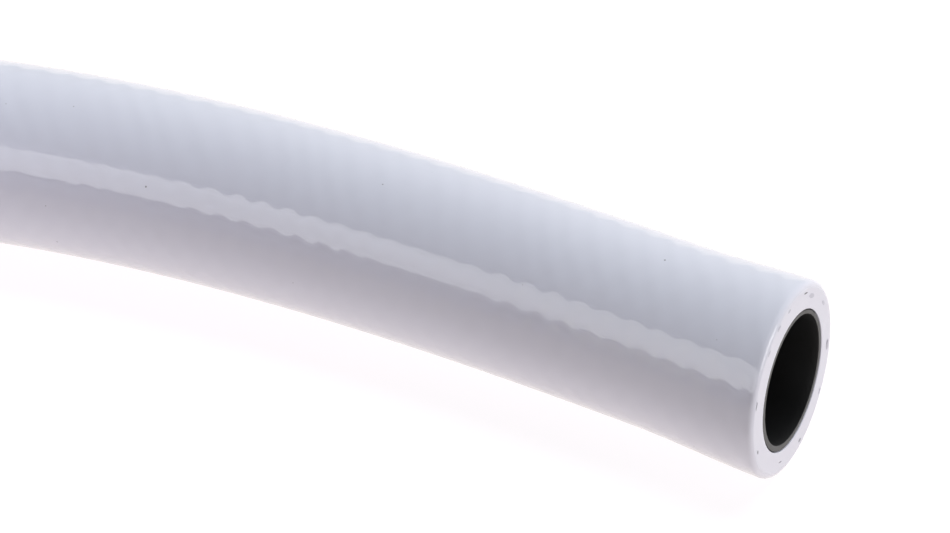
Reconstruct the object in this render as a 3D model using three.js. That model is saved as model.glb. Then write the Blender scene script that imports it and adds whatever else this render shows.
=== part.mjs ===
// Reinforced flexible PVC tubing: white wall, thin dark liner, 13 mm bore, 19 mm outside.
// A 5 m stock length stored as a tied round coil, with one cut end led straight off it on the floor.
// Millimetres, +Z up. The led end's face looks along +X, and the origin is under the middle of the whole.

import * as THREE from 'three';

// Tube section, from the bore outwards: 19 mm outside in all
const boreDiameter = 13;
const linerWall = 0.6;
const linerGap = 0.3; // between the liner and the white wall
const coverWall = 2.1;
const tubeSides = 12;
const ledStep = 13; // length of one straight step of a swept tube
const innerStep = 15;

// Coil: two columns of turns, wound clockwise seen from above towards the led end
const outerTurnRadius = 112.1; // centreline of the outer column
const turnGap = 0.5; // between neighbouring turns
const columns = 2;
const layers = 4;
const coilSegments = 40;
const arcStep = 7.5; // degrees between two points of a turn
const arcEndStep = 1; // the same beside a cut end, which keeps the end square to the turn

// Route of the led end: where it leaves the coil and its heading there, then chosen points as
// [x, y, rise], the tip's own position being [0, 0]. Rise is the share of the coil's lift it still has.
const leavePoint = [-219.7, -70.7];
const leaveHeading = 40;
const ledPoints = [
  [-210.14, -63.53, 0.95],
  [-199.98, -57.15, 0.8],
  [-187.67, -50.49, 0.55],
  [-173.28, -43.49, 0.3],
  [-156.94, -35.94, 0.1],
  [-140.47, -28.68, 0],
  [-123.87, -21.73, 0],
  [-109.01, -15.79, 0],
  [-96.83, -11.26, 0],
  [-85.38, -7.67, 0],
  [-73.71, -4.9, 0],
  [-61.88, -2.88, 0],
  [-49.96, -1.51, 0],
  [-37.99, -0.66, 0],
  [-26, -0.21, 0],
  [-14, -0.03, 0],
  [-6, 0, 0],
  [0, 0, 0],
];

// Angles round the coil, in degrees clockwise from where the led end leaves it
const lastTurnStart = 92; // the last turn is down on the bottom layer from here on
const firstTurnStart = 90 + leaveHeading + 90; // the inner end's face looks along +X
const firstTurnEnd = 360 + 100; // the first turn starts to climb here
const tieAngles = [96, 235, 345];

// Ties: flat nylon straps with a head on top
const tieWidth = 7.6;
const tieThickness = 1.2;
const tieGap = 0.4; // between a strap and the turns
const headWidth = 9;
const headHeight = 5;

// Worked out from the sizes above
const boreRadius = boreDiameter / 2;
const linerRadius = boreRadius + linerWall;
const tubeRadius = linerRadius + linerGap + coverWall;
const tubeDiameter = tubeRadius * 2;
const turnPitch = tubeDiameter + turnGap;
const innerTurnRadius = outerTurnRadius - (columns - 1) * turnPitch;
const middleTurnRadius = (outerTurnRadius + innerTurnRadius) / 2;
const coilLift = tieThickness + tieGap; // the coil rests on its ties
const bottomTurnHeight = tubeRadius + coilLift;
const bundleWidth = (columns - 1) * turnPitch + tubeDiameter;
const bundleHeight = (layers - 1) * turnPitch + tubeDiameter;
const coilCentre = [
  leavePoint[0] + outerTurnRadius * Math.sin(THREE.MathUtils.degToRad(leaveHeading)),
  leavePoint[1] - outerTurnRadius * Math.cos(THREE.MathUtils.degToRad(leaveHeading)),
];

const whitePvc = new THREE.MeshStandardMaterial({ color: 0xe6e5ec, roughness: 0.22, metalness: 0 });
const darkPvc = new THREE.MeshStandardMaterial({ color: 0x3a3a3e, roughness: 0.5, metalness: 0 });
const nylon = new THREE.MeshStandardMaterial({ color: 0xdcdad2, roughness: 0.45, metalness: 0 });

const tubing = new THREE.Group();

function addPiece(parent, name, geometry, material) {
  const piece = new THREE.Mesh(geometry, material);
  piece.name = name;
  parent.add(piece);
  return piece;
}

// World angle, in radians, of a place on the coil
function coilAngle(degreesFromLeaving) {
  return THREE.MathUtils.degToRad(90 + leaveHeading - degreesFromLeaving);
}

function coilPoint(radius, height, degreesFromLeaving) {
  const angle = coilAngle(degreesFromLeaving);
  return new THREE.Vector3(
    coilCentre[0] + radius * Math.cos(angle),
    coilCentre[1] + radius * Math.sin(angle),
    height,
  );
}

// Points of one bottom turn, from one angle round to another
function turnPoints(radius, from, to) {
  const count = Math.ceil((to - from) / arcStep);
  const angles = [from, from + arcEndStep];
  for (let i = 1; i < count; i += 1) {
    angles.push(from + (to - from) * (i / count));
  }
  angles.push(to - arcEndStep, to);
  return angles.map((angle) => coilPoint(radius, bottomTurnHeight, angle));
}

// A ring of tubeSides corners, with one of them at the bottom
function ringPath(shape, radius) {
  for (let i = 0; i < tubeSides; i += 1) {
    const angle = (i * 2 * Math.PI) / tubeSides;
    const x = radius * Math.cos(angle);
    const y = radius * Math.sin(angle);
    if (i === 0) {
      shape.moveTo(x, y);
    } else {
      shape.lineTo(x, y);
    }
  }
  shape.closePath();
  return shape;
}

function sweptTube(points, outsideRadius, insideRadius, stepLength) {
  const path = new THREE.CatmullRomCurve3(points);
  const section = ringPath(new THREE.Shape(), outsideRadius);
  section.holes.push(ringPath(new THREE.Path(), insideRadius));
  const steps = Math.round(path.getLength() / stepLength);
  return new THREE.ExtrudeGeometry(section, { extrudePath: path, steps });
}

function addTube(name, points, stepLength) {
  const cover = sweptTube(points, tubeRadius, linerRadius + linerGap, stepLength);
  const liner = sweptTube(points, linerRadius, boreRadius, stepLength);
  addPiece(tubing, `${name}_cover`, cover, whitePvc);
  addPiece(tubing, `${name}_liner`, liner, darkPvc);
}

// Outline of the turns above the bottom layer, as one closed profile of round bulges:
// up the outer column, in across the top, down the inner column and back across the bottom
function woundProfile() {
  const rise = (layer) => bottomTurnHeight + layer * turnPitch;
  const turns = [];
  for (let layer = 1; layer < layers; layer += 1) {
    turns.push({ radius: outerTurnRadius, height: rise(layer), side: 0 });
  }
  for (let layer = layers - 1; layer > 0; layer -= 1) {
    turns.push({ radius: innerTurnRadius, height: rise(layer), side: 180 });
  }
  const bulge = 52; // degrees that a bulge reaches to each side of its middle
  const pointsPerSide = 2;
  const points = [];
  turns.forEach((turn, i) => {
    const firstOfColumn = i % (layers - 1) === 0;
    const lastOfColumn = i % (layers - 1) === layers - 2;
    const from = turn.side - bulge - (firstOfColumn ? 90 : 0);
    const to = turn.side + bulge + (lastOfColumn ? 90 : 0);
    const count = Math.round((to - from) / (bulge / pointsPerSide));
    for (let k = 0; k <= count; k += 1) {
      const angle = THREE.MathUtils.degToRad(from + (to - from) * (k / count));
      points.push(new THREE.Vector2(
        turn.radius + tubeRadius * Math.cos(angle),
        turn.height + tubeRadius * Math.sin(angle),
      ));
    }
  });
  points.push(points[0].clone());
  return points;
}

// A strap's loop as seen along it, round the bundle at the given distance from the turns.
// A head stands on its top run where headRise is more than nothing.
function loopOutline(shape, distance, headRise) {
  const x = bundleWidth / 2 + distance;
  const y = bundleHeight / 2 + distance;
  const radius = tubeRadius + distance;
  shape.moveTo(x, -y + radius);
  shape.lineTo(x, y - radius);
  shape.absarc(x - radius, y - radius, radius, 0, Math.PI / 2, false);
  if (headRise > 0) {
    shape.lineTo(headWidth / 2, y);
    shape.lineTo(headWidth / 2, y + headRise);
    shape.lineTo(-headWidth / 2, y + headRise);
    shape.lineTo(-headWidth / 2, y);
  }
  shape.lineTo(-x + radius, y);
  shape.absarc(-x + radius, y - radius, radius, Math.PI / 2, Math.PI, false);
  shape.lineTo(-x, -y + radius);
  shape.absarc(-x + radius, -y + radius, radius, Math.PI, Math.PI * 1.5, false);
  shape.lineTo(x - radius, -y);
  shape.absarc(x - radius, -y + radius, radius, Math.PI * 1.5, Math.PI * 2, false);
  return shape;
}

function addTie(name, degreesFromLeaving) {
  const outline = loopOutline(new THREE.Shape(), tieGap + tieThickness, headHeight);
  outline.holes.push(loopOutline(new THREE.Path(), tieGap, 0));
  const strap = new THREE.ExtrudeGeometry(outline, {
    depth: tieWidth,
    bevelEnabled: false,
    curveSegments: 5,
  });
  strap.translate(0, 0, -tieWidth / 2);
  strap.rotateX(Math.PI / 2);
  const holder = new THREE.Group();
  holder.position.set(coilCentre[0], coilCentre[1], coilLift + bundleHeight / 2);
  holder.rotation.z = coilAngle(degreesFromLeaving);
  const tie = addPiece(holder, name, strap, nylon);
  tie.position.x = middleTurnRadius;
  tubing.add(holder);
}

const ledEnd = turnPoints(outerTurnRadius, lastTurnStart, 360).concat(
  ledPoints.map(([x, y, rise]) => new THREE.Vector3(x, y, tubeRadius + rise * coilLift)),
);
addTube('led_end', ledEnd, ledStep);
addTube('inner_end', turnPoints(innerTurnRadius, firstTurnStart, firstTurnEnd), innerStep);

const wound = new THREE.LatheGeometry(woundProfile(), coilSegments);
wound.rotateX(Math.PI / 2);
addPiece(tubing, 'wound_turns', wound, whitePvc).position.set(coilCentre[0], coilCentre[1], 0);

tieAngles.forEach((angle, i) => addTie(`tie_${i + 1}`, angle));

// The origin goes under the middle of the whole
const box = new THREE.Box3().setFromObject(tubing);
const middle = box.getCenter(new THREE.Vector3());
tubing.position.set(-middle.x, -middle.y, 0);

export default tubing;
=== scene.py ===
import math
import bpy
import numpy as np
from mathutils import Matrix, Vector


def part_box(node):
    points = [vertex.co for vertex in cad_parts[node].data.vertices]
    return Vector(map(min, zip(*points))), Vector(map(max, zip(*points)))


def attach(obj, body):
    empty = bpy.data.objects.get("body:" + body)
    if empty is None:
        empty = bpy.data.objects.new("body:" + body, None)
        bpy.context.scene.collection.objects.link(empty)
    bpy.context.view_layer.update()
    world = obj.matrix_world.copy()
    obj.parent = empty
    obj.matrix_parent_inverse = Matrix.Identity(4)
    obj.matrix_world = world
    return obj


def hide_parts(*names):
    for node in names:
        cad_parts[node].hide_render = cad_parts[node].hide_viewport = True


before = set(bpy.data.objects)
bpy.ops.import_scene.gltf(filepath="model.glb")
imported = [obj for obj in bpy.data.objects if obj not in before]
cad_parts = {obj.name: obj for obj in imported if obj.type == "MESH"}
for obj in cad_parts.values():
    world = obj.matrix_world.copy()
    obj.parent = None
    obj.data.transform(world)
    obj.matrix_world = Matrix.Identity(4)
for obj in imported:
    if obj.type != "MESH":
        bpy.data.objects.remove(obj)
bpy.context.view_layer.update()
mm = 0.001

# The middle of the led end's cut face
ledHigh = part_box("led_end_cover")[1]
tubeRadius = 9.5  # in millimetres, like every size of the route, tube, ties and yarns
tip = Vector((ledHigh.x, ledHigh.y - tubeRadius * mm, tubeRadius * mm))

# Camera
camera = {
    "azimuth": 30.11,  # degrees round from the tube's near side
    "elevation": 38.95,
    "distance": 0.3845,
    "focal": 3947.5,  # in pixels of a picture as wide as the next value
    "pictureWidth": 950,
    "sensorWidth": 36,
    "tipRight": 317.7,  # pixels from the picture's middle to the tip
    "tipBelow": 114.5,
}


def makeCamera():
    a, e = math.radians(camera["azimuth"]), math.radians(camera["elevation"])
    back = Vector((math.sin(a) * math.cos(e), -math.cos(a) * math.cos(e), math.sin(e)))
    right = Vector((math.cos(a), math.sin(a), 0))
    up = back.cross(right)
    far = camera["distance"]
    place = tip + back * far
    place -= right * (camera["tipRight"] / camera["focal"] * far)
    place += up * (camera["tipBelow"] / camera["focal"] * far)
    data = bpy.data.cameras.new("Camera")
    data.sensor_width = camera["sensorWidth"]
    data.lens = camera["focal"] / camera["pictureWidth"] * camera["sensorWidth"]
    data.clip_start = 0.01
    data.clip_end = 50
    seen = bpy.data.objects.new("Camera", data)
    bpy.context.scene.collection.objects.link(seen)
    seen.location = place
    seen.rotation_euler = back.to_track_quat("Z", "Y").to_euler()
    bpy.context.scene.camera = seen


makeCamera()
print("camera is made")

# Route of the tube
route = {
    "leave": (-219.7, -70.7),  # where the led end leaves the coil, from the tip
    "heading": 40,
    "outerRadius": 112.1,
    "pitch": 19.5,
    "lift": 1.6,  # the coil stands this high, on its ties
    "layers": 4,  # turns in each of the two columns
    "start": 220,  # degrees round the coil at which the tube begins
    "arcStep": 15,
    "climb": (100, 185),  # degrees of a turn over which it rises to the next layer
    "drop": (14, 96),
    "cross": (55, 150),
    "led": (
        (-210.14, -63.53, 0.95), (-199.98, -57.15, 0.8), (-187.67, -50.49, 0.55),
        (-173.28, -43.49, 0.3), (-156.94, -35.94, 0.1), (-140.47, -28.68, 0),
        (-123.87, -21.73, 0), (-109.01, -15.79, 0), (-96.83, -11.26, 0),
        (-85.38, -7.67, 0), (-73.71, -4.9, 0), (-61.88, -2.88, 0),
        (-49.96, -1.51, 0), (-37.99, -0.66, 0), (-26, -0.21, 0),
        (-14, -0.03, 0), (-6, 0, 0), (0, 0, 0),
    ),
}


def smooth(t):
    t = min(max(t, 0), 1)
    return t * t * (3 - 2 * t)


def coilCentre():
    turn = math.radians(route["heading"])
    x, y = route["leave"]
    return (x + route["outerRadius"] * math.sin(turn), y - route["outerRadius"] * math.cos(turn))


# Points in millimetres from the tip's place on the floor, from the inner end to the led end
def routePoints():
    centre = coilCentre()
    inner = route["outerRadius"] - route["pitch"]
    bottom = tubeRadius + route["lift"]
    column = 360 * route["layers"]
    steps = range(1, route["layers"])
    points = []
    for d in range(route["start"], 2 * column + 1, route["arcStep"]):
        if d < column:
            start, end = route["climb"]
            layer = sum(smooth((d - 360 * k - start) / (end - start)) for k in steps)
        else:
            start, end = route["drop"]
            layer = len(steps) - sum(smooth((d - column - 360 * k - start) / (end - start)) for k in steps)
        start, end = route["cross"]
        radius = inner + route["pitch"] * smooth((d - column - start) / (end - start))
        angle = math.radians(90 + route["heading"] - d)
        points.append((
            centre[0] + radius * math.cos(angle),
            centre[1] + radius * math.sin(angle),
            bottom + route["pitch"] * layer,
        ))
    points += [(x, y, tubeRadius + rise * route["lift"]) for x, y, rise in route["led"]]
    return np.array(points)


# A line with no sudden change of bend through all the points, as dense points
def bentLine(points, perSpan=24):
    knots = np.concatenate([[0], np.cumsum(np.linalg.norm(np.diff(points, axis=0), axis=1))])
    gap = np.diff(knots)
    count = len(points)
    system = np.eye(count)
    right = np.zeros((count, 3))
    for i in range(1, count - 1):
        system[i, i - 1:i + 2] = gap[i - 1], 2 * (gap[i - 1] + gap[i]), gap[i]
        right[i] = 6 * ((points[i + 1] - points[i]) / gap[i] - (points[i] - points[i - 1]) / gap[i - 1])
    bend = np.linalg.solve(system, right)
    line = []
    for i in range(count - 1):
        for t in np.arange(perSpan) / perSpan * gap[i]:
            u = gap[i] - t
            line.append(
                (bend[i] * u ** 3 + bend[i + 1] * t ** 3) / (6 * gap[i])
                + (points[i] / gap[i] - bend[i] * gap[i] / 6) * u
                + (points[i + 1] / gap[i] - bend[i + 1] * gap[i] / 6) * t
            )
    line.append(points[-1])
    return np.array(line)


floorPoint = np.array([tip.x, tip.y, 0]) / mm
denseLine = bentLine(routePoints()) + floorPoint
denseAlong = np.concatenate([[0], np.cumsum(np.linalg.norm(np.diff(denseLine, axis=0), axis=1))])
tubeLength = denseAlong[-1]


# Place, heading, side and up of the tube's line at a distance from its inner end, in millimetres
def placesOn(along):
    point = np.stack([np.interp(along, denseAlong, denseLine[:, k]) for k in range(3)], axis=1)
    step = 0.8
    before = np.clip(along - step, 0, tubeLength)
    after = np.clip(along + step, 0, tubeLength)
    ahead = np.stack([
        np.interp(after, denseAlong, denseLine[:, k]) - np.interp(before, denseAlong, denseLine[:, k])
        for k in range(3)
    ], axis=1)
    ahead /= np.linalg.norm(ahead, axis=1)[:, None]
    side = np.cross([0, 0, 1], ahead)
    side /= np.linalg.norm(side, axis=1)[:, None]
    return point, ahead, side, np.cross(ahead, side)


print("route is", round(tubeLength, 1), "mm long")


# Helpers
def newMaterial(name):
    made = bpy.data.materials.new(name)
    made.use_nodes = True
    nodes = made.node_tree.nodes
    return made, nodes, made.node_tree.links, nodes["Principled BSDF"]


def put(tree, kind, values=None, **settings):
    node = tree.nodes.new(kind)
    for name, value in settings.items():
        setattr(node, name, value)
    for key, value in (values or {}).items():
        if isinstance(value, bpy.types.NodeSocket):
            tree.links.new(value, node.inputs[key])
        else:
            node.inputs[key].default_value = value
    return node


def calc(tree, operation, first, second=0.0, third=0.0):
    values = {0: first, 1: second}
    if operation == "MULTIPLY_ADD":
        values[2] = third
    return put(tree, "ShaderNodeMath", values, operation=operation).outputs[0]


def scaled(tree, vector, amount):
    node = put(tree, "ShaderNodeVectorMath", {0: vector, "Scale": amount}, operation="SCALE")
    return node.outputs[0]


def added(tree, first, second):
    return put(tree, "ShaderNodeVectorMath", {0: first, 1: second}, operation="ADD").outputs[0]


def mixed(tree, amount, first, second):
    return put(tree, "ShaderNodeMix", {0: amount, 6: first, 7: second}, data_type="RGBA").outputs[2]


def noise(tree, place, scale, detail, roughness=0.5):
    values = {"Vector": place, "Scale": scale, "Detail": detail, "Roughness": roughness}
    return put(tree, "ShaderNodeTexNoise", values).outputs["Fac"]


def kept(tree, label, output="Fac"):
    return put(tree, "ShaderNodeAttribute", attribute_name=label).outputs[output]


def bumped(tree, shader, height, distance):
    bump = put(tree, "ShaderNodeBump", {"Height": height, "Distance": distance, "Strength": 1.0})
    tree.links.new(bump.outputs[0], shader.inputs["Normal"])


# A node group with its inputs by name. Each input is (name, kind of socket, value).
def newGroup(name, inputs):
    tree = bpy.data.node_groups.new(name, "GeometryNodeTree")
    tree.interface.new_socket("Geometry", in_out="INPUT", socket_type="NodeSocketGeometry")
    keys = {}
    for label, kind, value in inputs:
        socket = tree.interface.new_socket(label, in_out="INPUT", socket_type=kind)
        if value is not None:
            socket.default_value = value
        keys[label] = socket.identifier
    tree.interface.new_socket("Geometry", in_out="OUTPUT", socket_type="NodeSocketGeometry")
    return tree, tree.nodes.new("NodeGroupInput").outputs, keys


def endGroup(tree, geometry, material):
    real = put(tree, "GeometryNodeRealizeInstances", {"Geometry": geometry})
    painted = put(tree, "GeometryNodeSetMaterial", {"Geometry": real.outputs[0], "Material": material})
    tree.links.new(painted.outputs[0], tree.nodes.new("NodeGroupOutput").inputs[0])


def pointMesh(name, points, fields, edges=()):
    mesh = bpy.data.meshes.new(name)
    mesh.from_pydata([tuple(p) for p in points], list(edges), [])
    for label, values in fields.items():
        values = np.asarray(values, dtype=float)
        kind = "FLOAT_VECTOR" if values.ndim == 2 else "FLOAT"
        held = mesh.attributes.new(label, kind, "POINT")
        held.data.foreach_set("vector" if values.ndim == 2 else "value", values.ravel())
    return mesh


# Runs a node group on a mesh and returns its result as a plain mesh object
def grown(name, mesh, group, keys, values):
    source = bpy.data.objects.new(name + " points", mesh)
    bpy.context.scene.collection.objects.link(source)
    change = source.modifiers.new("Nodes", "NODES")
    change.node_group = group
    for label, value in values.items():
        change[keys[label]] = value
    bpy.context.view_layer.update()
    seen = source.evaluated_get(bpy.context.evaluated_depsgraph_get())
    result = bpy.data.meshes.new_from_object(seen)
    source.modifiers.remove(change)
    bpy.data.objects.remove(source)
    piece = bpy.data.objects.new(name, result)
    bpy.context.scene.collection.objects.link(piece)
    return piece


def plainMesh(name, vertices, faces, material):
    mesh = bpy.data.meshes.new(name)
    mesh.from_pydata([tuple(v) for v in vertices], [], [tuple(int(k) for k in f) for f in faces])
    mesh.materials.append(material)
    piece = bpy.data.objects.new(name, mesh)
    bpy.context.scene.collection.objects.link(piece)
    return piece


# Finishes
pvcLook = {
    "pale": (0.675, 0.67, 0.765, 1),
    "tinted": (0.655, 0.645, 0.74, 1),
    "speck": (0.12, 0.11, 0.12, 1),
    "roughness": 0.05,
    "cutRoughness": 0.3,  # how much rougher a cut face is
    "waves": 0.000022,  # height of the slow waves in the surface, in metres
    "braid": 0.000012,  # height of the braid that shows through
    "grain": 0.0000004,
    "yarns": 12,  # yarns in each direction round the tube
    "braidStep": 0.003,  # distance along the tube from yarn to yarn
    "speckCell": 0.009,  # one cell in two has a speck
}


def makePvc():
    made, nodes, links, shader = newMaterial("White PVC")
    tree = made.node_tree
    straight = kept(tree, "straight", "Vector")
    along, aside, upward = put(tree, "ShaderNodeSeparateXYZ", {0: straight}).outputs
    turn = calc(tree, "ARCTAN2", aside, upward)
    slow = noise(tree, straight, 55.0, 2.0)
    fine = noise(tree, straight, 900.0, 3.0, 0.6)
    colour = mixed(tree, slow, pvcLook["pale"], pvcLook["tinted"])

    # Specks: one picked colour channel says which cells have one, one its size, one its darkness
    around = calc(tree, "MULTIPLY", turn, tubeRadius * mm)
    cells = put(tree, "ShaderNodeTexVoronoi", {
        "Vector": put(tree, "ShaderNodeCombineXYZ", {0: along, 1: around}).outputs[0],
        "Scale": 1 / pvcLook["speckCell"],
    }, voronoi_dimensions="2D")
    pick = put(tree, "ShaderNodeSeparateColor", {0: cells.outputs["Color"]})
    isSpeck = calc(tree, "GREATER_THAN", pick.outputs[0], 0.5)
    size = calc(tree, "MULTIPLY_ADD", pick.outputs[1], 0.007, 0.004)
    speck = calc(tree, "MULTIPLY", isSpeck, calc(tree, "LESS_THAN", cells.outputs["Distance"], size))
    speck = calc(tree, "MULTIPLY", speck, calc(tree, "MULTIPLY_ADD", pick.outputs[2], 0.6, 0.2))
    links.new(mixed(tree, speck, colour, pvcLook["speck"]), shader.inputs["Base Color"])

    rough = calc(tree, "MULTIPLY_ADD", fine, 0.05, pvcLook["roughness"] - 0.025)
    rough = calc(tree, "MULTIPLY_ADD", kept(tree, "cutFace"), pvcLook["cutRoughness"], rough)
    links.new(rough, shader.inputs["Roughness"])
    shader.inputs["IOR"].default_value = 1.5

    # The braid is two sets of crossing waves, and one set drifts so that they don't meet evenly
    lengthwise = calc(tree, "MULTIPLY", along, 2 * math.pi / pvcLook["braidStep"])
    waves = []
    for sign, drift in ((1, 0), (-1, 12)):
        phase = calc(tree, "MULTIPLY_ADD", turn, sign * pvcLook["yarns"], lengthwise)
        waves.append(calc(tree, "SINE", calc(tree, "MULTIPLY_ADD", slow, drift, phase)))
    braid = calc(tree, "MULTIPLY", calc(tree, "ADD", *waves), pvcLook["braid"])
    swell = noise(tree, straight, 130.0, 1.5, 0.45)
    height = calc(tree, "MULTIPLY_ADD", swell, pvcLook["waves"], braid)
    height = calc(tree, "MULTIPLY_ADD", fine, pvcLook["grain"], height)
    bumped(tree, shader, height, 1.0)
    return made


def makeLiner():
    made, nodes, links, shader = newMaterial("Dark liner")
    tree = made.node_tree
    spots = noise(tree, kept(tree, "straight", "Vector"), 700.0, 4.0)
    inside = mixed(tree, spots, (0.0035, 0.0035, 0.004, 1), (0.007, 0.007, 0.008, 1))
    ring = mixed(tree, spots, (0.02, 0.02, 0.022, 1), (0.12, 0.12, 0.125, 1))
    links.new(mixed(tree, kept(tree, "cutFace"), inside, ring), shader.inputs["Base Color"])
    links.new(calc(tree, "MULTIPLY_ADD", spots, 0.15, 0.5), shader.inputs["Roughness"])
    bumped(tree, shader, spots, 0.00001)
    return made


def makeNylon():
    made, nodes, links, shader = newMaterial("Natural nylon")
    tree = made.node_tree
    place = put(tree, "ShaderNodeTexCoord").outputs["Object"]
    cloud = noise(tree, place, 90.0, 3.0)
    colour = mixed(tree, cloud, (0.80, 0.78, 0.70, 1), (0.72, 0.70, 0.63, 1))
    links.new(colour, shader.inputs["Base Color"])
    links.new(calc(tree, "MULTIPLY_ADD", cloud, 0.18, 0.3), shader.inputs["Roughness"])
    shader.inputs["Subsurface Weight"].default_value = 0.15
    shader.inputs["Subsurface Radius"].default_value = (0.002, 0.0018, 0.0014)
    bumped(tree, shader, noise(tree, place, 1800.0, 2.0), 0.00002)
    return made


def makeYarn():
    made, nodes, links, shader = newMaterial("Braid yarn and painted shade")
    tree = made.node_tree
    strands = noise(tree, put(tree, "ShaderNodeTexCoord").outputs["Object"], 6000.0, 2.0)
    shade = calc(tree, "SUBTRACT", kept(tree, "shade"), 0.15)
    amount = calc(tree, "MULTIPLY_ADD", strands, 0.3, shade)
    colour = mixed(tree, amount, (0.03, 0.03, 0.035, 1), (0.66, 0.65, 0.74, 1))
    links.new(colour, shader.inputs["Base Color"])
    shader.inputs["Roughness"].default_value = 0.85
    return made


pvc, liner, nylon, yarn = makePvc(), makeLiner(), makeNylon(), makeYarn()

# Tube
tube = {
    "outer": tubeRadius,
    "wallInner": 7.2,
    "linerOuter": 7.12,
    "bore": 6.5,
    "outerFlare": 0.5,  # how much the cut end spreads
    "wallFlare": 0.04,
    "linerFlare": 0.02,
    "boreFlare": 0.14,
    "flareReach": 14.0,
    "edgeRound": 0.6,
    "slantAside": 3.35,  # degrees that the cut is off square
    "slantUp": 3.71,
    "slantReach": 6.0,
    "boreAside": 0.08,  # how far the bore is off the liner's middle
    "boreUp": 0.05,
    "seenLength": 120.0,
    "seenStep": 2.5,
    "coilStep": 6.5,
    "endStations": (1.0, 2.0, 3.2, 4.6, 6.2, 8.0, 10.0),  # from either end
}


# Stations along the tube, close together where the photo shows it
def stations():
    ends = np.array(tube["endStations"])
    start, seen, stop = ends[-1] + 2, tubeLength - tube["seenLength"], tubeLength - ends[-1]
    far = np.linspace(start, seen, round((seen - start) / tube["coilStep"]), endpoint=False)
    near = np.linspace(seen, stop, round((stop - seen) / tube["seenStep"]), endpoint=False)
    return np.concatenate([ends, far, near, tubeLength - ends[::-1]])


# Rows of a tube's skin: along the outside, in across the cut, back along the bore, and across again.
# Each is (distance along, share of the wall from the bore, 1 on a cut face).
def skinRows(outer, inner, edgeRound, sink):
    thick = outer - inner
    bends = np.radians([0, 20, 40, 60, 78, 90])
    bevel = []
    for back, drop in [(edgeRound * (1 - math.sin(a)), edgeRound * (1 - math.cos(a))) for a in bends]:
        bevel.append((back, 1 - drop / thick, 0.0 if drop < edgeRound * 0.6 else 1.0))
    soft = 0.05
    softShare = 0.3 * soft / thick
    across = [1 - edgeRound / thick - 0.02]
    across += list(np.linspace(across[0], soft / thick, 7)[1:])
    last = tubeLength - sink
    rows = [(s, 1.0, 0.0) for s in stations()]
    rows += [(last - back, share, face) for back, share, face in bevel]
    rows += [(last, share, 1.0) for share in across]
    rows += [(last - 0.3 * soft, softShare, 1.0), (last - soft, 0.0, 0.0)]
    rows += [(s, 0.0, 0.0) for s in stations()[::-1]]
    rows += [(sink + soft, 0.0, 0.0), (sink + 0.3 * soft, softShare, 1.0)]
    rows += [(sink, share, 1.0) for share in across[::-1]]
    rows += [(sink + back, share, face) for back, share, face in bevel[::-1]]
    rows.append(rows[0])
    return np.array(rows)


def skinMesh(name, rows):
    point, ahead, side, up = placesOn(rows[:, 0])
    return pointMesh(name, point * mm, {
        "along": (tubeLength - rows[:, 0]) * mm,
        "fromCut": np.minimum(tubeLength - rows[:, 0], rows[:, 0]) * mm,
        "wall": rows[:, 1],
        "face": rows[:, 2],
        "ahead": ahead,
        "side": side,
        "upward": up,
    })


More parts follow.
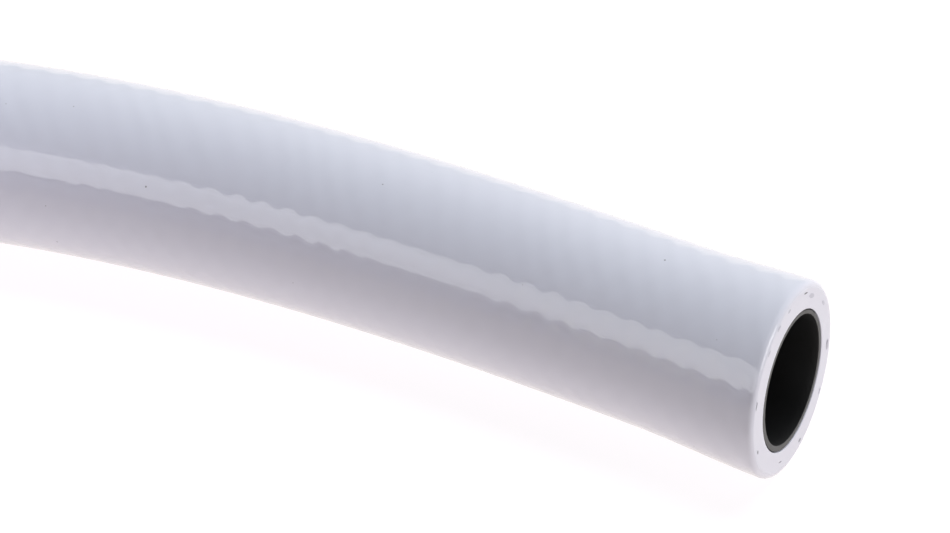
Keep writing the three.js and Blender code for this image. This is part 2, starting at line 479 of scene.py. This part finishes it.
# Makes a closed skin from rows: a ring of the same number of corners round each row's middle
def skinGroup():
    real, whole = "NodeSocketFloat", "NodeSocketInt"
    tree, given, keys = newGroup("Tube skin", [
        ("Sides", whole, 48),
        ("Outer radius", real, 0.0095),
        ("Inner radius", real, 0.0065),
        ("Outer flare", real, 0.0),
        ("Inner flare", real, 0.0),
        ("Flare reach", real, 0.01),
        ("Bore aside", real, 0.0),
        ("Bore up", real, 0.0),
        ("Slant aside", real, 0.0),
        ("Slant up", real, 0.0),
        ("Slant reach", real, 0.006),
        ("Material", "NodeSocketMaterial", None),
    ])
    count = put(tree, "GeometryNodeAttributeDomainSize", {0: given["Geometry"]})
    columns = calc(tree, "ADD", given["Sides"], 1)
    grid = put(tree, "GeometryNodeMeshGrid", {
        "Vertices X": count.outputs["Point Count"], "Vertices Y": columns,
    })
    index = put(tree, "GeometryNodeInputIndex").outputs[0]
    row = calc(tree, "FLOOR", calc(tree, "DIVIDE", calc(tree, "ADD", index, 0.5), columns))
    column = calc(tree, "SUBTRACT", index, calc(tree, "MULTIPLY", row, columns))
    turn = calc(tree, "MULTIPLY", calc(tree, "DIVIDE", column, given["Sides"]), 2 * math.pi)

    def ofRow(label, kind):
        field = put(tree, "GeometryNodeInputNamedAttribute", {"Name": label}, data_type=kind)
        sample = put(tree, "GeometryNodeSampleIndex", data_type=kind, domain="POINT")
        tree.links.new(given["Geometry"], sample.inputs["Geometry"])
        tree.links.new(field.outputs[0], sample.inputs["Value"])
        tree.links.new(row, sample.inputs["Index"])
        return sample.outputs[0]

    # 1 at the cut, fading smoothly to 0 at the given reach
    def fading(reach):
        node = put(tree, "ShaderNodeMapRange", {
            "Value": ofRow("fromCut", "FLOAT"), "From Min": 0.0, "From Max": given[reach],
            "To Min": 1.0, "To Max": 0.0,
        }, interpolation_type="SMOOTHSTEP")
        return node.outputs[0]

    wall = ofRow("wall", "FLOAT")
    thick = calc(tree, "SUBTRACT", given["Outer radius"], given["Inner radius"])
    radius = calc(tree, "MULTIPLY_ADD", wall, thick, given["Inner radius"])
    more = calc(tree, "SUBTRACT", given["Outer flare"], given["Inner flare"])
    flare = calc(tree, "MULTIPLY_ADD", wall, more, given["Inner flare"])
    radius = calc(tree, "MULTIPLY_ADD", flare, fading("Flare reach"), radius)
    off = calc(tree, "SUBTRACT", 1, wall)
    boreAside = calc(tree, "MULTIPLY", off, given["Bore aside"])
    boreUp = calc(tree, "MULTIPLY", off, given["Bore up"])
    aside = calc(tree, "MULTIPLY_ADD", radius, calc(tree, "SINE", turn), boreAside)
    upward = calc(tree, "MULTIPLY_ADD", radius, calc(tree, "COSINE", turn), boreUp)
    slantUp = calc(tree, "MULTIPLY", upward, given["Slant up"])
    slant = calc(tree, "ADD", calc(tree, "MULTIPLY", aside, given["Slant aside"]), slantUp)
    slant = calc(tree, "MULTIPLY", calc(tree, "MULTIPLY", slant, fading("Slant reach")), -1)

    middle = put(tree, "GeometryNodeSampleIndex", data_type="FLOAT_VECTOR", domain="POINT")
    tree.links.new(given["Geometry"], middle.inputs["Geometry"])
    tree.links.new(put(tree, "GeometryNodeInputPosition").outputs[0], middle.inputs["Value"])
    tree.links.new(row, middle.inputs["Index"])
    place = added(tree, middle.outputs[0], scaled(tree, ofRow("side", "FLOAT_VECTOR"), aside))
    place = added(tree, place, scaled(tree, ofRow("upward", "FLOAT_VECTOR"), upward))
    place = added(tree, place, scaled(tree, ofRow("ahead", "FLOAT_VECTOR"), slant))
    along = ofRow("along", "FLOAT")
    share = calc(tree, "DIVIDE", turn, 2 * math.pi)
    straight = put(tree, "ShaderNodeCombineXYZ", {0: along, 1: aside, 2: upward}).outputs[0]
    flat = put(tree, "ShaderNodeCombineXYZ", {0: along, 1: share}).outputs[0]

    shape = grid.outputs["Mesh"]
    for label, kind, domain, value in (
        ("straight", "FLOAT_VECTOR", "POINT", straight),
        ("cutFace", "FLOAT", "POINT", ofRow("face", "FLOAT")),
        ("UVMap", "FLOAT2", "CORNER", flat),
    ):
        if domain == "CORNER":
            caught = put(tree, "GeometryNodeCaptureAttribute", domain="POINT")
            caught.capture_items.new("VECTOR", "Flat")
            tree.links.new(shape, caught.inputs[0])
            tree.links.new(value, caught.inputs[1])
            shape, value = caught.outputs[0], caught.outputs[1]
        stored = put(tree, "GeometryNodeStoreNamedAttribute", {"Name": label}, data_type=kind, domain=domain)
        tree.links.new(shape, stored.inputs["Geometry"])
        tree.links.new(value, stored.inputs["Value"])
        shape = stored.outputs[0]
    moved = put(tree, "GeometryNodeSetPosition", {"Geometry": shape, "Position": place})
    joined = put(tree, "GeometryNodeMergeByDistance", {"Geometry": moved.outputs[0], "Distance": 0.000002})
    shaded = put(tree, "GeometryNodeSetShadeSmooth", {"Geometry": joined.outputs[0]})
    endGroup(tree, shaded.outputs[0], given["Material"])
    return tree, keys


skin, skinKeys = skinGroup()


def growTube(name, outer, inner, flares, edgeRound, sink, off, sides, material):
    rows = skinRows(outer, inner, edgeRound, sink)
    return grown(name, skinMesh(name + "Rows", rows), skin, skinKeys, {
        "Sides": sides,
        "Outer radius": outer * mm,
        "Inner radius": inner * mm,
        "Outer flare": flares[0] * mm,
        "Inner flare": flares[1] * mm,
        "Flare reach": tube["flareReach"] * mm,
        "Bore aside": off * tube["boreAside"] * mm,
        "Bore up": off * tube["boreUp"] * mm,
        "Slant aside": math.tan(math.radians(tube["slantAside"])),
        "Slant up": math.tan(math.radians(tube["slantUp"])),
        "Slant reach": tube["slantReach"] * mm,
        "Material": material,
    })


hose = growTube(
    "WhiteWall", tube["outer"], tube["wallInner"], (tube["outerFlare"], tube["wallFlare"]),
    tube["edgeRound"], 0, 0, 48, pvc,
)
lining = growTube(
    "DarkLiner", tube["linerOuter"], tube["bore"], (tube["linerFlare"], tube["boreFlare"]),
    0.06, 0.06, 1, 40, liner,
)
print("tube has", len(hose.data.polygons), "faces and its liner", len(lining.data.polygons))


# A mesh whose faces look inwards is turned inside out
def outward(piece):
    mesh = piece.data
    total = 0.0
    for face in mesh.polygons:
        total += face.center.dot(face.normal) * face.area
    if total < 0:
        mesh.flip_normals()


for piece in (hose, lining):
    outward(piece)

# Ties
tie = {
    "angles": (96, 235, 345),
    "width": 7.6,
    "thick": 1.3,
    "gap": 0.3,
    "headLong": 9.0,
    "headWide": 10.4,
    "headHigh": 4.3,
    "toothStep": 1.6,
    "arcStep": 10,  # degrees of a corner's bend
}


# Middles of the turns that a tie holds, as (out, up) from the coil's middle line
def heldTurns(angle):
    middle, out, across, up = tieFrame(angle)
    away = denseLine - middle
    beside = away @ across
    found = []
    for i in range(len(beside) - 1):
        if beside[i] * beside[i + 1] <= 0 and abs(away[i] @ out) < 40:
            found.append((float(away[i] @ out), float(away[i] @ up)))
    return found


# A tight closed loop round the held turns, as (out, up, normal out, normal up)
def loopLine(turns, distance):
    reach = tubeRadius + distance
    line = []
    last = None
    for degrees in range(-90, 271, tie["arcStep"]):
        a = math.radians(degrees)
        best = max(turns, key=lambda turn: turn[0] * math.cos(a) + turn[1] * math.sin(a))
        if last is not None and best != last:
            x, y = best[0] - last[0], best[1] - last[1]
            far = math.hypot(x, y)
            nx, ny = y / far, -x / far
            line.append((last[0] + reach * nx, last[1] + reach * ny, nx, ny))
            line.append((best[0] + reach * nx, best[1] + reach * ny, nx, ny))
        if degrees < 270:
            nx, ny = math.cos(a), math.sin(a)
            line.append((best[0] + reach * nx, best[1] + reach * ny, nx, ny))
        last = best
    spaced = [line[0]]
    for place in line[1:]:
        if math.dist(place[:2], spaced[-1][:2]) > 0.2:
            spaced.append(place)
    if math.dist(spaced[-1][:2], spaced[0][:2]) < 0.2:
        spaced.pop()  # the loop's end has met its start
    return spaced


def tieFrame(angle):
    centre = coilCentre()
    turn = math.radians(90 + route["heading"] - angle)
    out = np.array([math.cos(turn), math.sin(turn), 0])
    across = np.array([-math.sin(turn), math.cos(turn), 0])
    radius = route["outerRadius"] - route["pitch"] / 2
    middle = floorPoint + np.array([centre[0], centre[1], 0]) + out * radius
    middle[2] = route["lift"] + ((route["layers"] - 1) * route["pitch"] + 2 * tubeRadius) / 2
    return middle, out, across, np.array([0, 0, 1.0])


# Closed sweep of a strap's section (across, away) round a loop
def strapParts(angle):
    middle, out, across, up = tieFrame(angle)
    half, thick = tie["width"] / 2, tie["thick"]
    section = [
        (-half, 0.25), (-half, thick - 0.3), (-half + 0.1, thick - 0.1), (-half + 0.3, thick),
        (-half + 0.9, thick), (-half + 1.1, thick - 0.18), (half - 1.1, thick - 0.18),
        (half - 0.9, thick), (half - 0.3, thick), (half - 0.1, thick - 0.1), (half, thick - 0.3),
        (half, 0.25), (half - 0.25, 0), (half - 1.4, 0), (half - 1.5, 0.3), (-half + 1.5, 0.3),
        (-half + 1.4, 0), (-half + 0.25, 0),
    ]
    line = loopLine(heldTurns(angle), tie["gap"])
    vertices, faces = [], []
    for x, y, nx, ny in line:
        base = middle + out * x + up * y
        normal = out * nx + up * ny
        vertices += [(base + across * a + normal * b) * mm for a, b in section]
    n, m = len(line), len(section)
    for i in range(n):
        for k in range(m):
            faces.append((
                i * m + k, i * m + (k + 1) % m,
                (i + 1) % n * m + (k + 1) % m, (i + 1) % n * m + k,
            ))
    return vertices, faces


# Teeth inside a strap, one at each step along its loop
def teethGroup():
    real = "NodeSocketFloat"
    tree, given, keys = newGroup("Teeth along a strap", [
        ("Step", real, 0.0016),
        ("Width", real, 0.0046),
        ("Height", real, 0.0005),
        ("Material", "NodeSocketMaterial", None),
    ])
    line = put(tree, "GeometryNodeMeshToCurve", {"Mesh": given["Geometry"]})
    even = put(tree, "GeometryNodeResampleCurve", {
        "Curve": line.outputs[0], "Length": given["Step"],
    }, mode="LENGTH")
    size = put(tree, "ShaderNodeCombineXYZ", {
        0: calc(tree, "MULTIPLY", given["Step"], 0.45), 1: given["Width"], 2: given["Height"],
    })
    tooth = put(tree, "GeometryNodeMeshCube", {"Size": size.outputs[0]})
    away = put(tree, "GeometryNodeInputNamedAttribute", {"Name": "away"}, data_type="FLOAT_VECTOR")
    heading = put(tree, "GeometryNodeInputTangent")
    first = put(tree, "FunctionNodeAlignRotationToVector", {"Vector": away.outputs[0]}, axis="Z")
    second = put(tree, "FunctionNodeAlignRotationToVector", {
        "Rotation": first.outputs[0], "Vector": heading.outputs[0],
    }, axis="X", pivot_axis="Z")
    teeth = put(tree, "GeometryNodeInstanceOnPoints", {
        "Points": even.outputs[0], "Instance": tooth.outputs[0], "Rotation": second.outputs[0],
    })
    endGroup(tree, teeth.outputs[0], given["Material"])
    return tree, keys


teeth, teethKeys = teethGroup()


def makeHead(name, angle):
    middle, out, across, up = tieFrame(angle)
    turns = heldTurns(angle)
    highest = max(turn[1] for turn in turns)
    upper = [turn[0] for turn in turns if turn[1] > highest - 1]
    middle = middle + out * (min(upper) + max(upper)) / 2
    top = highest + tubeRadius + tie["gap"] + tie["thick"] - 0.3

    def boxAt(label, sizes, low, bevel):
        bpy.ops.mesh.primitive_cube_add(size=1)
        made = bpy.context.object
        made.name = label
        made.data.transform(scaleMatrix(sizes))
        place = (middle + up * (top + low + sizes[2] / 2)) * mm
        made.data.transform(turnedTo(out, across, up, place))
        if bevel:
            edge = made.modifiers.new("Edge", "BEVEL")
            edge.width = bevel * mm
            edge.segments = 3
        return made

    head = boxAt(name, (tie["headLong"], tie["headWide"], tie["headHigh"] + 0.3), 0, 0.7)
    slot = boxAt(name + " slot", (2.6, tie["width"] + 0.7, 3.0), tie["headHigh"] - 2.2, 0)
    cutting = head.modifiers.new("Slot", "BOOLEAN")
    cutting.operation = "DIFFERENCE"
    cutting.object = slot
    bpy.context.view_layer.update()
    result = bpy.data.meshes.new_from_object(head.evaluated_get(bpy.context.evaluated_depsgraph_get()))
    tail = boxAt(name + " tail", (1.2, tie["width"], 2.9), tie["headHigh"] - 2.2, 0.15)
    bpy.context.view_layer.update()
    tailMesh = bpy.data.meshes.new_from_object(tail.evaluated_get(bpy.context.evaluated_depsgraph_get()))
    for spare in (head, slot, tail):
        bpy.data.objects.remove(spare)
    return [result, tailMesh]


def scaleMatrix(sizes):
    x, y, z = (s * mm for s in sizes)
    return Matrix(((x, 0, 0, 0), (0, y, 0, 0), (0, 0, z, 0), (0, 0, 0, 1)))


def turnedTo(x, y, z, place):
    return Matrix((
        (x[0], y[0], z[0], place[0]),
        (x[1], y[1], z[1], place[1]),
        (x[2], y[2], z[2], place[2]),
        (0, 0, 0, 1),
    ))


def makeTie(number, angle):
    vertices, faces = strapParts(angle)
    strap = plainMesh("Strap%d" % number, vertices, faces, nylon)
    middle, out, across, up = tieFrame(angle)
    line = loopLine(heldTurns(angle), tie["gap"] + 0.28)
    points = [(middle + out * x + up * y) * mm for x, y, nx, ny in line]
    away = [out * nx + up * ny for x, y, nx, ny in line]
    edges = [(i, (i + 1) % len(line)) for i in range(len(line))]
    toothLine = pointMesh("Teeth line", points, {"away": away}, edges)
    ribs = grown("Teeth %d" % number, toothLine, teeth, teethKeys, {
        "Step": tie["toothStep"] * mm,
        "Width": (tie["width"] - 3) * mm,
        "Height": 0.0005,
        "Material": nylon,
    })
    parts = [strap, ribs]
    for mesh in makeHead("Head %d" % number, angle):
        mesh.materials.clear()
        mesh.materials.append(nylon)
        part = bpy.data.objects.new("Part", mesh)
        bpy.context.scene.collection.objects.link(part)
        parts.append(part)
    bpy.ops.object.select_all(action="DESELECT")
    for part in parts:
        part.select_set(True)
    bpy.context.view_layer.objects.active = strap
    bpy.ops.object.join()
    strap.name = "Tie%d" % number
    strap.data.shade_smooth()
    bpy.ops.object.shade_smooth_by_angle(angle=math.radians(35))
    return strap


ties = [makeTie(i + 1, angle) for i, angle in enumerate(tie["angles"])]
print("ties are made")

# Braid yarns
yarns = {
    "radius": (8.0, 9.0),  # where they lie in the wall, in millimetres
    "long": (0.7, 1.6),
    "thick": (0.25, 0.5),
    "shade": (0.45, 0.85),  # from dark to as pale as the wall
    "count": 12,
    "seed": 7,
}


# Cut ends of yarns, each a small flat lens that lies on the face
def yarnGroup():
    tree, given, keys = newGroup("Yarn ends", [
        ("Stand-out", "NodeSocketFloat", 0.00003),
        ("Material", "NodeSocketMaterial", None),
    ])
    ball = put(tree, "GeometryNodeMeshUVSphere", {"Segments": 14, "Rings": 8, "Radius": 0.5})
    turn = put(tree, "GeometryNodeInputNamedAttribute", {"Name": "turn"}, data_type="FLOAT_VECTOR")
    length = put(tree, "GeometryNodeInputNamedAttribute", {"Name": "long"}, data_type="FLOAT")
    thick = put(tree, "GeometryNodeInputNamedAttribute", {"Name": "thick"}, data_type="FLOAT")
    size = put(tree, "ShaderNodeCombineXYZ", {
        0: calc(tree, "MULTIPLY", given["Stand-out"], 2), 1: length.outputs[0], 2: thick.outputs[0],
    })
    ends = put(tree, "GeometryNodeInstanceOnPoints", {
        "Points": given["Geometry"], "Instance": ball.outputs["Mesh"],
        "Rotation": turn.outputs[0], "Scale": size.outputs[0],
    })
    endGroup(tree, ends.outputs[0], given["Material"])
    return tree, keys


yarnTree, yarnKeys = yarnGroup()


# Yarn ends on the cut at one end of the tube; one listed mark on the led end is painted shade instead. Each
# mark is (degrees round from the top, radius, length, thickness, shade), in millimetres.
def makeYarns(name, along, marks):
    point, ahead, side, up = (v[0] for v in placesOn(np.array([along])))
    slantAside = math.tan(math.radians(tube["slantAside"]))
    slantUp = math.tan(math.radians(tube["slantUp"]))
    places = []
    for degrees, radius, long, thick, shade in marks:
        a = math.radians(degrees)
        y, z = radius * math.sin(a), radius * math.cos(a)
        places.append((point + side * y + up * z - ahead * (y * slantAside + z * slantUp)) * mm)
    mesh = pointMesh(name + "Points", places, {
        "turn": [(-math.radians(m[0]), 0, 0) for m in marks],
        "long": [m[2] * mm for m in marks],
        "thick": [m[3] * mm for m in marks],
        "shade": [m[4] for m in marks],
    })
    return grown(name, mesh, yarnTree, yarnKeys, {"Stand-out": 0.00003, "Material": yarn})


# The mark at 34 degrees is no yarn end but painted shade: a soft grey patch for the shade in a shallow step
# across the cut.
seenMarks = [
    (22, 9.0, 0.9, 0.14, 0.1), (34, 8.5, 1.5, 0.55, 0.84), (62, 8.7, 1.0, 0.4, 0.86),
    (103, 8.75, 1.7, 0.5, 0.72), (134, 9.0, 1.0, 0.35, 0.85), (170, 8.8, 0.6, 0.4, 0.55),
    (-4, 9.0, 0.7, 0.3, 0.8), (-20, 9.2, 1.0, 0.4, 0.85), (-37, 9.2, 0.9, 0.35, 0.88),
    (-70, 9.25, 1.3, 0.16, 0.55), (-106, 8.9, 0.6, 0.3, 0.5), (-157, 8.4, 0.8, 0.15, 0.5),
]
rng = np.random.default_rng(yarns["seed"])
farMarks = []
for i in range(yarns["count"]):
    degrees = 360 * i / yarns["count"] + rng.uniform(-9, 9)
    farMarks.append((degrees, *(rng.uniform(*yarns[k]) for k in ("radius", "long", "thick", "shade"))))
ledYarnsAndStepShade = makeYarns("YarnEndsAndStepShadeLed", tubeLength, seenMarks)
innerYarns = makeYarns("YarnEndsInner", 0, farMarks)
print("yarn ends are made")

# Floor and light
light = {
    "roomFront": 0.03,  # the room as the tube sees it, from the camera's side to the far side
    "roomBack": 0.75,
    "backdrop": 0.93,  # the room as the camera sees it
    "floorGlow": 0.9,
    "glowRight": (1.03, 1, 1.02, 1),  # the glow's colour by the cut, and further left along the tube
    "glowLeft": (1.1, 1.0, 1.04, 1),
    "glowUnder": (1.07, 1, 0.95, 1),  # its colour as the tube sees it
    "top": 6.4,  # soft light above
    "strip": 2.2,  # bright band along the tube
    "stripReach": 190,  # where its lights start, their length and how far they go past the tip
    "stripStep": 21,
    "stripPast": 40,
    "right": 6.0,  # faces the cut end
}


def makeFloor():
    bpy.ops.mesh.primitive_plane_add(size=8)
    floor = bpy.context.object
    floor.name = "Floor"
    made, nodes, links, shader = newMaterial("Pale floor")
    tree = made.node_tree
    place = put(tree, "ShaderNodeTexCoord").outputs["Object"]
    colour = mixed(tree, noise(tree, place, 3.0, 2.0), (0.14, 0.14, 0.14, 1), (0.17, 0.17, 0.17, 1))
    links.new(colour, shader.inputs["Base Color"])
    shader.inputs["Roughness"].default_value = 0.9
    shader.inputs["Specular IOR Level"].default_value = 0.1
    warm = put(tree, "ShaderNodeMapRange", {
        0: put(tree, "ShaderNodeSeparateXYZ", {0: place}).outputs[0],
        1: tip.x - 0.03, 2: tip.x - 0.08, 3: 0.0, 4: 1.0,
    }, interpolation_type="SMOOTHSTEP")
    shown = mixed(tree, warm.outputs[0], light["glowRight"], light["glowLeft"])
    toCamera = put(tree, "ShaderNodeLightPath").outputs["Is Camera Ray"]
    links.new(mixed(tree, toCamera, light["glowUnder"], shown), shader.inputs["Emission Color"])
    shader.inputs["Emission Strength"].default_value = light["floorGlow"]
    floor.data.materials.append(made)


def softbox(name, place, width, height, radiance, colour=(1, 1, 1)):
    data = bpy.data.lights.new(name, "AREA")
    data.shape = "RECTANGLE"
    data.size = width
    data.size_y = height
    data.energy = radiance * math.pi * width * height
    data.color = colour
    made = bpy.data.objects.new(name, data)
    bpy.context.scene.collection.objects.link(made)
    made.visible_camera = False
    made.location = aim + Vector(place)
    made.rotation_euler = Vector(place).to_track_quat("Z", "Y").to_euler()
    return made


# A row of narrow lights beside the led end, which only reflections see
def stripLights(beside, low, high, radiance):
    places = np.arange(tubeLength - light["stripReach"], tubeLength, light["stripStep"])
    point, ahead, side, up = placesOn(places)
    edge = point - side * beside
    edge[:, 2] = (low + high) / 2
    edge = np.concatenate([edge, edge[-1:] + ahead[-1:] * light["stripPast"]])
    for i, (start, end) in enumerate(zip(edge, edge[1:])):
        along = Vector(end - start)
        data = bpy.data.lights.new("Strip light %d" % i, "AREA")
        data.shape = "RECTANGLE"
        data.size = along.length * mm
        data.size_y = (high - low) * mm
        data.energy = radiance * math.pi * data.size * data.size_y
        made = bpy.data.objects.new(data.name, data)
        bpy.context.scene.collection.objects.link(made)
        along.normalize()
        away = along.cross(Vector((0, 0, 1)))
        turned = Matrix((along, (0, 0, 1), away)).transposed().to_4x4()
        made.matrix_world = Matrix.Translation(Vector((start + end) / 2) * mm) @ turned
        made.visible_camera = made.visible_diffuse = False


def makeWorld():
    world = bpy.data.worlds.new("Studio")
    world.use_nodes = True
    tree = world.node_tree
    heading = put(tree, "ShaderNodeSeparateXYZ", {0: put(tree, "ShaderNodeTexCoord").outputs["Generated"]})
    room = put(tree, "ShaderNodeMapRange", {
        0: heading.outputs[1], 1: -0.1, 2: 1.0, 3: light["roomFront"], 4: light["roomBack"],
    }, interpolation_type="SMOOTHSTEP")
    ray = put(tree, "ShaderNodeLightPath")
    strength = put(tree, "ShaderNodeMix", {
        0: ray.outputs["Is Camera Ray"], 2: room.outputs[0], 3: light["backdrop"],
    })
    tree.links.new(strength.outputs[0], tree.nodes["Background"].inputs[1])
    tree.nodes["Background"].inputs[0].default_value = (0.97, 1, 1, 1)
    bpy.context.scene.world = world


makeFloor()
makeWorld()
bpy.context.scene.view_settings.view_transform = "Standard"
aim = tip - Vector((0.05, 0, 0))
topLight = softbox("Top light", (-0.1, 0.45, 1.53), 1.6, 0.7, light["top"], (0.94, 1, 1))
topLight.visible_glossy = False
softbox("Right light", (1.5, 0.3, 0.33), 0.9, 0.5, light["right"])
stripLights(28, 19.6, 37.5, light["strip"])

# Attach the made pieces to the root body and hide the CAD parts that they stand in for
def report():
    path, ahead, side, up = placesOn(np.linspace(0, tubeLength, round(tubeLength / 5)))
    for piece in (hose, lining, ledYarnsAndStepShade, innerYarns, *ties):
        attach(piece, "root")
    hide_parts("led_end_cover", "inner_end_cover", "wound_turns")
    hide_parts("led_end_liner", "inner_end_liner")
    for i, piece in enumerate(ties):
        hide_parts("tie_%d" % (i + 1))


report()
print("scene is ready")
